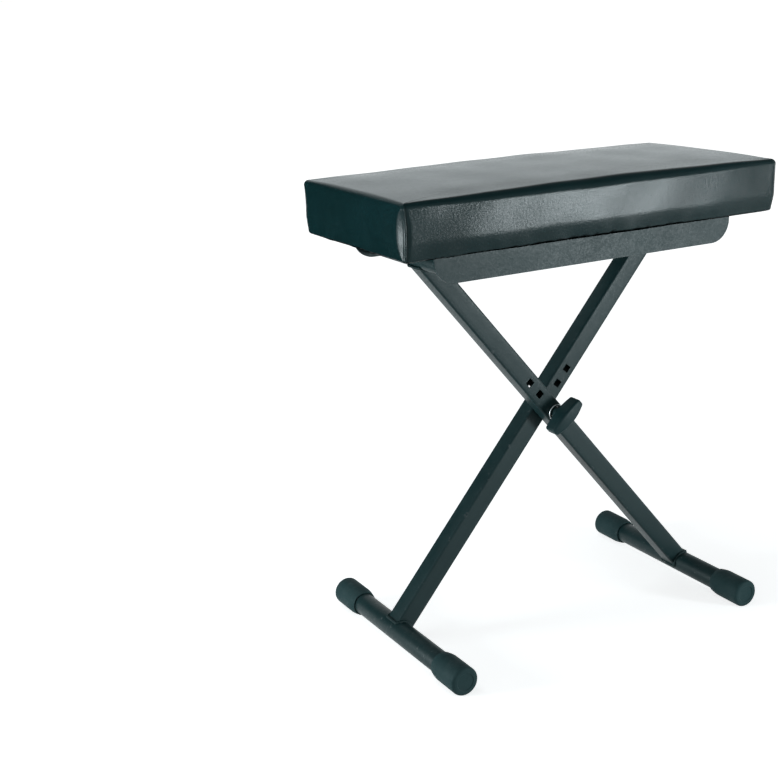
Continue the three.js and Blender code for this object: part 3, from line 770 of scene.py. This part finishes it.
def wood_screw(name, node):
    """A wood screw that points up: the head hangs below the rail's flange, and the shank goes up
    into the board, with its thread as rings of a saw tooth."""
    low, high = corners(node)
    middle, height, steps, sides = (low + high) / 2, 2.4 * MM, 40, 64
    x, y, z = screw_head((high[0] - low[0]) / 2, height, sides=sides)
    under = low[2] + height
    along = linspace(0, high[2] - under, steps)[:, None]
    taper = clip((high[2] - under - along) / (3 * MM), 0.02, 1)
    radius = (1.95 - 0.5 * abs((along / (1.6 * MM)) % 1 * 2 - 1)) * MM * taper
    angle = whole_turn(sides)
    x, y = (concatenate([head, radius * wave(angle), zeros((1, sides))])
            for head, wave in ((x, cos), (y, sin)))
    z = concatenate([under - z, under + along + 0 * angle, full((1, sides), high[2])])
    return sewn(name, stack([middle[0] + x, middle[1] + y, z], -1))


# Cushion

SEAT_X, SEAT_Y = SEAT_HIGH[:2]
LOWER_EDGE, DRAW_IN, EDGE_LIFT, CROWN = array([3.5, 2.5, 2.7, 4]) * MM
CORNER, LEAN, LIP_WIDTH, LIP_THICK = array([5.5, 3, 29.8, 1.2]) * MM
FACET_END, FACET_SIDE, FACET_BEND = array([17, 10.5, 2.5]) * MM
SEAM_DEEP = array([4.4, 2.8]) * MM
ARC, LONG, SHORT = 25, 110, 52
SEAMS = [ARC // 2 + k * (ARC + LONG) + half * (2 * ARC + LONG + SHORT)
         for half in (0, 1) for k in (0, 1)]
UNDERSIDE_ROWS = 15


def side_steps(count):
    """Shares along a straight side between two corners, closer together near the corners."""
    even = arange(1, count + 1) / (count + 1)
    return 0.55 * even + 0.45 * (1 - cos(pi * even)) / 2


def side_bulge():
    """How far each column is from the corners: a half sine along each side, less on short ones."""
    long, short = (sin(pi * side_steps(count)) for count in (LONG, SHORT))
    return concatenate([zeros(ARC), long, zeros(ARC), 0.5 * short] * 2)


def cushion_corner(radius, taut):
    """A corner as depths below the end and the side that it joins, from the end to the side: a
    quarter circle, or where the cover is taut two curves that leave the end and the side after a
    short bend and run nearly flat to the seam. Points are closer together near the seam."""
    u = linspace(-1, 1, ARC)[:, None]
    away = abs(u) ** 1.8
    round_corner = radius * (1 - circle(pi / 4 * (1 + np.sign(u) * away))[:, 0])
    rim = np.where(u < 0, [[0, FACET_END]], [[FACET_SIDE, 0]])
    bend = np.where(u < 0, [[0, FACET_END - FACET_BEND]], [[FACET_SIDE - FACET_BEND, 0]])
    facets = away**2 * rim + 2 * away * (1 - away) * bend + (1 - away) ** 2 * SEAM_DEEP
    return round_corner + (facets - round_corner) * taut


def cushion_ring(inset, corner, taut):
    """One level of the cushion, anticlockwise from +X: each side is set in by its own amount, and
    the cover is taut round its corners, most at the front left one."""
    radius, edge = max(corner, 1.6 * MM), float(inset[0])
    bends = []
    for i, (sx, sy, share) in enumerate([(1, 1, 0.3), (-1, 1, 0.3), (-1, -1, 1), (1, -1, 0.3)]):
        deep = edge + cushion_corner(radius, taut * share)
        bends.append(([SEAT_X, SEAT_Y] - (deep[::-1] if i % 2 else deep)) * [sx, sy])
    parts, start = [], 0
    for i, bend in enumerate(bends):
        first, last = bend[-1], bends[(i + 1) % 4][0]
        start += ARC
        count = SHORT if i % 2 else LONG
        side = first + (last - first) * side_steps(count)[:, None]
        across = 1 - i % 2
        side[:, across] = np.sign(first[across]) * (SEAT_HIGH[across] - inset[start:start + count])
        parts += [bend, side]
        start += count
    return concatenate(parts)


def cushion_levels():
    """The cushion from the middle of its underside out over the turned-in lip, round the lower
    edge, up the side, round the upper edge and in to the crown. Halfway along a side the upper
    edge is rounder and stands higher than at the corners."""
    low, peak, bulge = SEAT_LOW[2], SEAT_HIGH[2], side_bulge()
    high = peak - CROWN + EDGE_LIFT * bulge
    upper = 6.5 * MM + 5 * MM * bulge
    flat = ones_like(bulge)
    rows = []

    def level(inset, z, corner=0, scale=1.0, taut=0.0):
        ring = cushion_ring(inset * flat, corner, taut) * scale
        rows.append(concatenate([ring, (z * flat)[:, None]], 1))

    for scale in (0.1, 0.4, 0.7, 0.9, 1.0):
        level(LIP_WIDTH, low + LIP_THICK + 0.05 * MM, 0, scale)
    level(LIP_WIDTH, low + 0.4 * MM)
    level(29.6 * MM, low + 0.15 * MM)
    for inset in (29, 26, 23, 20, 17, 14, 11, 8.5):
        level(inset * MM, low)
    for turn in quarter_turn(6)[:-1]:
        gone = LOWER_EDGE * (1 - sin(turn))
        level(DRAW_IN + gone, low + LOWER_EDGE * (1 - cos(turn)), CORNER - gone)
    for share in linspace(0, 1, 23):
        z = low + LOWER_EDGE + share * (high - upper - low - LOWER_EDGE)
        drawn = DRAW_IN * max(0, 1 - share / 0.34) ** 1.3
        level(drawn, z, CORNER, taut=sin(share * pi) ** 0.6)
    for turn in quarter_turn(10)[1:]:
        gone = upper * (1 - cos(turn))
        level(gone, high - upper * (1 - sin(turn)), CORNER - float(gone[0]))
    for scale in 1 - linspace(0, 1, 30)[1:-1] ** 1.15:
        level(upper, peak - (peak - high) * scale**2, CORNER - float(upper[0]), scale)
    return array(rows)


def cushion_mesh(name, levels):
    """A closed mesh over the levels, with a fan of triangles at the middle of either face."""
    rows, cols = levels.shape[:2]
    count = rows * cols
    middle = [[0, 0, levels[0, 0, 2]], [0, 0, SEAT_HIGH[2]]]
    points = concatenate([levels.reshape(-1, 3), middle])
    j = arange(cols)
    beside = (j + 1) % cols
    fans = [stack([0 * j + count, beside, j], -1),
            stack([0 * j + count + 1, count - cols + j, count - cols + beside], -1)]
    quads = grid_faces(rows, cols).tolist()
    data = bpy.data.meshes.new(name)
    data.from_pydata(points.tolist(), [], quads + concatenate(fans).tolist())
    return data


def freedom(places):
    """How free the cover is to swell, from 0 at an edge to 1: of a place's distances to an end,
    to a side and to the top, the middle one counts. The part on the board's edge is held."""
    x, y, z = abs(places).T
    gaps = sort(stack([SEAT_X - x, SEAT_Y - y, SEAT_HIGH[2] - CROWN - z]), 0)[1]
    above = clip((z - SEAT_LOW[2] - 9 * MM) / (12 * MM), 0, 1)
    free = clip((gaps - 5 * MM) / (16 * MM), 0, 1) * above
    return free * free * (3 - 2 * free)


def evaluated(made):
    """A new mesh of an object as its modifiers make it now."""
    return bpy.data.meshes.new_from_object(
        made.evaluated_get(bpy.context.evaluated_depsgraph_get()))


def swollen(blank, pressure, limit):
    """What swelling does to a blank: remeshed evenly and held along its edges, it is run as cloth
    under pressure without weight. Gives its points as they were, and how far each ends from the
    shape that it was leaned in from, with a limit that grows with its freedom."""
    even = blank.modifiers.new("even mesh", "REMESH")
    even.mode, even.voxel_size = "VOXEL", 5 * MM
    taken = evaluated(blank)
    blank.modifiers.clear()
    blank.data = taken
    before, outward = points_of(taken), normals_of(taken)
    free = freedom(before)[:, None]
    cloth = blank.modifiers.new("skin", "CLOTH").settings
    cloth.use_pressure, cloth.uniform_pressure_force = True, pressure
    cloth.effector_weights.gravity = 0
    held = blank.vertex_groups.new(name="held")
    held.add(np.flatnonzero(free < 0.001).tolist(), 1.0, "REPLACE")
    cloth.vertex_group_mass = "held"
    for step in range(1, 21):
        SCENE.frame_set(step)
    shift = points_of(evaluated(blank)) - before
    SCENE.frame_set(1)
    bpy.data.objects.remove(blank)
    way = norm(shift, axis=1)[:, None]
    shift *= minimum(1, limit * free / maximum(way, 1e-9))
    return before, shift - LEAN * free * outward


def carried(before, shift, places, cell=12 * MM):
    """The movement of a skin read at other places: it is averaged over cubic cells, each cell
    takes a share of its neighbours by the weights 1, 2, 1 along every axis, three times, and a
    place reads the eight cells round it by its nearness to them."""
    start = minimum(before.min(0), places.min(0)) - 3 * cell
    count = np.ceil((maximum(before.max(0), places.max(0)) - start) / cell).astype(int) + 3
    field = zeros((*count, 4))
    spot = tuple(np.floor((before - start) / cell).astype(int).T)
    np.add.at(field, spot, concatenate([shift, np.ones((len(shift), 1))], 1))
    for axis in (0, 1, 2) * 3:
        field = (roll(field, 1, axis) + 2 * field + roll(field, -1, axis)) / 4
    at = (places - start) / cell - 0.5
    first = np.floor(at).astype(int)
    total = zeros((len(places), 4))
    for corner in np.ndindex(2, 2, 2):
        near = abs(1 - array(corner) - (at - first)).prod(1)
        total += near[:, None] * field[tuple((first + corner).T)]
    return total[:, :3] / maximum(total[:, 3:], 1e-9)


def seam_way(levels):
    """Way along each level from every column to the nearest corner seam."""
    step = norm(roll(levels, -1, 1) - levels, axis=2)
    run = concatenate([zeros((len(levels), 1)), np.cumsum(step, 1)], 1)
    whole, run = run[:, -1:], run[:, :-1]
    away = stack([abs(run - run[:, [k]]) for k in SEAMS])
    return minimum(away, whole - away).min(0)


def hill(away, width):
    return exp(-(away / width) ** 2)


def cover_folds(levels, normals):
    """What tailoring adds to the skin, along its normals: a ridge between two grooves down each
    corner seam, short pulls above the lower edge where the cover is drawn round the board, slow
    waves over the faces, and pleats in the lip at the corners."""
    x, y, z = moveaxis(levels, -1, 0)
    low, high, away = SEAT_LOW[2], SEAT_HIGH[2], seam_way(levels)
    row = arange(len(levels))[:, None]
    above = row >= UNDERSIDE_ROWS
    on_side = clip((z - low) / (2 * MM), 0, 1) * clip((high - 2 * MM - z) / (7 * MM), 0, 1)
    ridge = 0.6 * MM * hill(away, 0.7 * MM) - 0.5 * MM * hill(away - 1.7 * MM, 0.8 * MM)
    along = np.where(abs(abs(y) - SEAT_Y) < 0.02, x, y + 3 * x)
    pulls = sin(along * 172 + 1.3 * sin(along * 41)) + 0.6 * sin(along * 97 + 2 + sin(along * 23))
    pulls *= 0.28 * MM * hill(z - low - 2 * MM, 9 * MM) * (z < low + 40 * MM) * (z > low + 0.2 * MM)
    slow = (sin(x * 43 + 2.2 * sin(z * 60) + 0.7) + sin(x * 71 - z * 50 + y * 20)
            + 0.8 * sin(y * 57 + x * 13 + 1.1) + 0.6 * sin(x * 19 + y * 31 - z * 90))
    end, side = SEAT_X - abs(x), SEAT_Y - abs(y)
    on_lip = (row >= 7) & (row < UNDERSIDE_ROWS + 2)
    pleats = abs(sin(arctan2(side, end) * 6)) - 0.5
    pleats *= 0.25 * MM * hill(hypot(end, side), 34 * MM) * on_lip
    lift = ridge * on_side * above + pulls + 0.14 * MM * slow * above + pleats
    return levels + normals * lift[..., None]


def painted_fold_shade(levels):
    """How much painted shade the fold's shadow lays on the cover, for each point: all of it up to a
    ragged line that runs a few millimetres above the lower edge, highest halfway along a side."""
    x, y, z = moveaxis(levels, -1, 0)
    ragged = sin(x * 310 + 3 * sin(x * 87)) + sin(x * 730 + y * 500)
    line = (1.1 + 2.4 * side_bulge() + 0.35 * ragged) * MM
    shade = clip((line - (z - SEAT_LOW[2])) / (0.6 * MM), 0, 1)
    return shade * (arange(len(levels)) >= UNDERSIDE_ROWS - 2)[:, None]


def cushion():
    """The covered seat: the levels' skin, swollen as a cloth blank that was leaned in swells, with
    the tailoring's folds."""
    levels = cushion_levels()
    data = cushion_mesh("seat_upholstery", levels)
    inner = cushion_mesh("cushion_blank", levels)
    lean = points_of(inner)
    lean = lean - normals_of(inner) * (LEAN * freedom(lean))[:, None]
    move(inner, lean)
    swell = carried(*swollen(put(inner), 4, LEAN + 1.0 * MM), lean)
    move(data, points_of(data) + swell)
    places, normals = points_of(data), normals_of(data)
    folded = cover_folds(places[:-2].reshape(levels.shape), normals[:-2].reshape(levels.shape))
    places[:-2] = folded.reshape(-1, 3)
    move(data, places)
    # Painted shade of the fold under the lower edge, kept on each point for the leatherette to
    # read.
    keep(data, "painted_fold_shade", append(painted_fold_shade(levels).ravel(), [0, 0]))
    return data


# Underside

def dust_sheet():
    """The cloth under the seat: a grid that sags a little between its edges, with its hem folded
    under as a second layer, closed into a thin sheet."""
    half_x, half_y = CLOTH_HIGH[:2]
    u, v = np.meshgrid(linspace(-1, 1, 121), linspace(-1, 1, 61), indexing="ij")
    in_u, in_v = 1 - abs(u), 1 - abs(v)
    ripple = sin(u * 37 + 2 * sin(v * 9)) * exp(-(in_v * 7)) + sin(v * 21) * exp(-(in_u * 12))
    sag = 0.1 * MM * (1 - u**2) * (1 - v**2)
    inside = minimum(in_u * half_x, in_v * half_y) - 11 * MM
    hem = 0.18 * MM / (1 + exp(inside / (0.4 * MM)))
    bottom = CLOTH_LOW[2] + 0.25 * MM - sag - 0.08 * MM * ripple - hem
    skins = [stack([u * half_x, v * half_y, bottom + up], -1) for up in (0, 0.5 * MM)]
    rows, cols = u.shape
    count = rows * cols
    quads = grid_faces(rows, cols, close_cols=False)
    rim = concatenate([arange(cols), arange(1, rows) * cols + cols - 1,
                       count - 2 - arange(cols - 1), (rows - 2 - arange(rows - 2)) * cols])
    return sewn("dust_sheet", stack(skins), quads, quads + count, wall(rim, count))


def staple(start, way):
    """A wire of half-round section pressed into the lip, whose ends dip into the cover."""
    half, thick, sides = 5 * MM, 0.45 * MM, 8
    at = array([-1, -1, -0.93, -0.8, 0, 0.8, 0.93, 1, 1])[:, None, None]
    dip = array([1.2, 0.5, 0.12, 0, 0, 0, 0.12, 0.5, 1.2])[:, None, None] * MM
    angle = whole_turn(sides)[None, :, None]
    way, up = array([*way, 0.0]), array([0, 0, 1.0])
    side = array([-way[1], way[0], 0.0])
    middle = array([*start, SEAT_LOW[2] - 0.15 * MM]) + at * half * way + dip * up
    points = middle + cos(angle) * side * thick + sin(angle) * up * thick * 0.7
    ends = [np.broadcast_to(points[k].mean(0), (1, sides, 3)) for k in (0, -1)]
    return sewn("staple", concatenate([ends[0], points, ends[1]]))


def staples():
    """Staples every few centimetres along the lip, outside the rails and across both ends."""
    long, short = arange(-7, 8) * 33 * MM, arange(-2, 3) * 34 * MM
    sides = [(x, s * (SEAT_Y - 13 * MM)) for s in (-1, 1) for x in long]
    ends = [(s * (SEAT_X - 15 * MM), y) for s in (-1, 1) for y in short]
    wires = [staple(spot, (1.0, 0.12 * sin(i * 2.3))) for i, spot in enumerate(sides)]
    wires += [staple(spot, (0.12 * sin(i * 1.7), 1.0)) for i, spot in enumerate(ends)]
    return join("cover_staples", wires)


# The bench put together

seat = piece(cushion(), "seat", "leatherette", "seat_cover", "seat_foam", sharp=180)
closing = piece(dust_sheet(), "seat", "cloth", "underside_cloth", sharp=60)
piece(staples(), "seat", "zinc", sharp=60)

for word, side in (("front", -1), ("rear", 1)):
    piece(rail_strip(f"{word}_angle_rail", side), "seat", "painted_steel", f"{word}_rail",
          bevel=0.45 * MM)
    for k in range(1, 5):
        node = f"{word}_rail_screw_{k}"
        piece(wood_screw(f"{word}_wood_screw_{k}", node), "seat", "zinc", node, sharp=50)

for leg, side in (("front_leg", 1), ("rear_leg", -1)):
    piece(leg_tube(f"{leg}_square_tube", side), leg, "painted_steel", f"{leg}_tube",
          bevel=0.3 * MM, sharp=45)
    for word, tube, radius, sides in (("foot_pipe", "foot_tube", FOOT_RADIUS, 72),
                                      ("pivot_tube", "cross_tube", CROSS_RADIUS, 64)):
        node = f"{leg}_{tube}"
        piece(pipe(f"{leg}_{word}", node, radius, sides), leg, "painted_steel", node)
    for word in ("front", "rear"):
        node = f"{leg}_{word}_foot_cap"
        piece(foot_cap(f"{leg}_{word}_rubber_cap", node), leg, "rubber", node, sharp=50)
    for word, which, out, radius, drops in (("foot", 1, 0.4, 2.0, 58), ("top", 0, 0.3, 1.5, 70)):
        weld = bead(f"{leg}_{word}_weld", cope_line(side, which, out * MM), radius * MM, drops)
        piece(weld, leg, "painted_steel", material=BEAD_PAINT, sharp=180)

piece(cupped_washer(), "clamp_washer", "chrome", "clamp_washer", sharp=60)
piece(knob_handle(), "knob", "moulding", "knob_handle", sharp=50)
piece(carriage_bolt(), "rear_leg", "zinc", "clamp_bolt", sharp=50)

for node in frame["nodes"].values():
    for kept in node.material_slots:
        kept.material = SLOT_FINISH[kept.material.name.split(".")[0]]


# Studio

NEAR_GLOW = 0.74
LAMP_TINT = (0.9, 1.0, 1.03)


def sees_background(tree):
    """1 for the rays that see the background as it is: the camera's own, and those off gloss or
    through glass."""
    path = add("LightPath", {}, tree).outputs
    mirrored = calc("MAXIMUM", path["Is Glossy Ray"], path["Is Transmission Ray"])
    return calc("MAXIMUM", path["Is Camera Ray"], mirrored)


def dull(name, tone, roughness, specular):
    """A plain grey for the studio."""
    return finish(name, lambda spot: {"Base Color": (tone, tone, tone, 1),
                                      "Roughness": roughness, "Specular IOR Level": specular})


def stage(name, points, material, close_cols=True):
    """A grid of points as a part of the studio."""
    data = sewn(name, points, close_cols=close_cols)
    data.materials.append(material)
    made = put(data)
    return made


def floor():
    """A wide white floor. It shades as paper, and a light of its own for the eye carries it to
    white, less so near the bench, so that the shadow stays on it."""
    material = dull("white paper", 0.8, 0.9, 0.1)
    tree = material.node_tree
    spot = add("TexCoord", {}, tree).outputs["Object"]
    far = add("VectorMath", {0: spot}, operation="LENGTH").outputs["Value"]
    glow = calc("MULTIPLY", sees_background(tree), spread(far, 0.5, 3.0, NEAR_GLOW, 1.0))
    glow = add("Emission", {"Color": (1, 1, 1, 1), "Strength": glow})
    paper = tree.nodes["Principled BSDF"].outputs[0]
    both = add("AddShader", {0: paper, 1: glow.outputs[0]}).outputs[0]
    feed(tree.nodes["Material Output"], {"Surface": both})
    radius = array([0.001, 0.5, 1.5, 5, 20, 90])[:, None]
    rings = circle(whole_turn(64), radius)
    under = full((*rings.shape[:2], 1), -0.05 * MM)
    stage("floor", concatenate([rings, under], -1), material)


def flag():
    """A dull black cloth on an arc behind and to the left of the bench, lying on the floor and
    hanging behind it, for that side to mirror. Its angle runs from the back round to the left."""
    material = dull("black velvet", 0.01, 1.0, 0.0)
    angle = radians(linspace(2, 52, 40))[:, None]
    radius, height = array([[0.9, 2.4, 2.4]]), array([[0.01, 0.01, 1.8]])
    points = broadcast_arrays(-radius * sin(angle), radius * cos(angle), height)
    made = stage("black_flag", stack(points, -1), material, close_cols=False)
    made.visible_camera = made.visible_shadow = made.visible_diffuse = False


def world(level, ceiling):
    """Even light of a level, and plain white for what the camera, gloss and glass see. Both fade
    towards the ceiling, with the height of the direction, to a part of that."""
    made = bpy.data.worlds.new("studio")
    SCENE.world = made
    made.use_nodes = True
    tree = made.node_tree
    way = add("TexCoord", {}, tree).outputs["Generated"]
    fade = spread(add("SeparateXYZ", {0: way}).outputs["Z"], 0.42, 0.7, 1.0, ceiling)
    seen = add("LightPath", {}, tree).outputs["Is Camera Ray"]
    strength = spread(sees_background(tree), 0.0, 1.0, level, 1.0)
    feed(tree.nodes["Background"], {
        "Color": layered((0.92, 1.0, 1.02), (seen, (1, 1, 1))),
        "Strength": calc("MULTIPLY", strength, fade)})


def softbox(name, spot, aim, size, radiance):
    """A flat lamp of a size in metres that looks at a point, its face evenly bright."""
    lamp = bpy.data.lights.new(name, "AREA")
    lamp.shape, (lamp.size, lamp.size_y), lamp.color = "RECTANGLE", size, LAMP_TINT
    lamp.energy = radiance * size[0] * size[1] * pi
    made = put(lamp)
    turn = (Vector(aim) - Vector(spot)).to_track_quat("-Z", "Y").to_matrix().to_4x4()
    made.matrix_world = Matrix.Translation(spot) @ turn
    made.visible_camera = False


def camera(spot, azimuth, elevation, tip, lens):
    """The photographer's camera: azimuth turns from +Y, elevation looks down, and it tips."""
    a, e, r = (radians(angle) for angle in (azimuth, elevation, tip))
    ahead = Vector((-sin(a) * cos(e), cos(a) * cos(e), -sin(e)))
    right = ahead.cross(Vector((0, 0, 1))).normalized()
    up = right.cross(ahead)
    right, up = right * cos(r) + up * sin(r), up * cos(r) - right * sin(r)
    data = bpy.data.cameras.new("camera")
    data.lens, data.sensor_width = lens, 36
    made = put(data)
    turn = Matrix((right, up, -ahead)).transposed().to_4x4()
    made.matrix_world = Matrix.Translation(spot) @ turn
    SCENE.camera = made


floor()
flag()
world(0.35, 0.2)
softbox("front softbox", (1.31, -1.86, 0.29), (0.0, 0, 0.42), (0.36, 0.58), 50.0)
softbox("left softbox", (-2.21, 0.634, 0.42), (0, 0, 0.45), (0.6, 0.8), 28.0)
softbox("top softbox", (-0.7, 0.3, 2.4), (0, 0, 0.0), (1.6, 1.2), 1.6)
camera((-0.9772, -1.3814, 0.8160), -28.58, 16.78, -2.0, 63.42)
SCENE.view_settings.view_transform = "Standard"
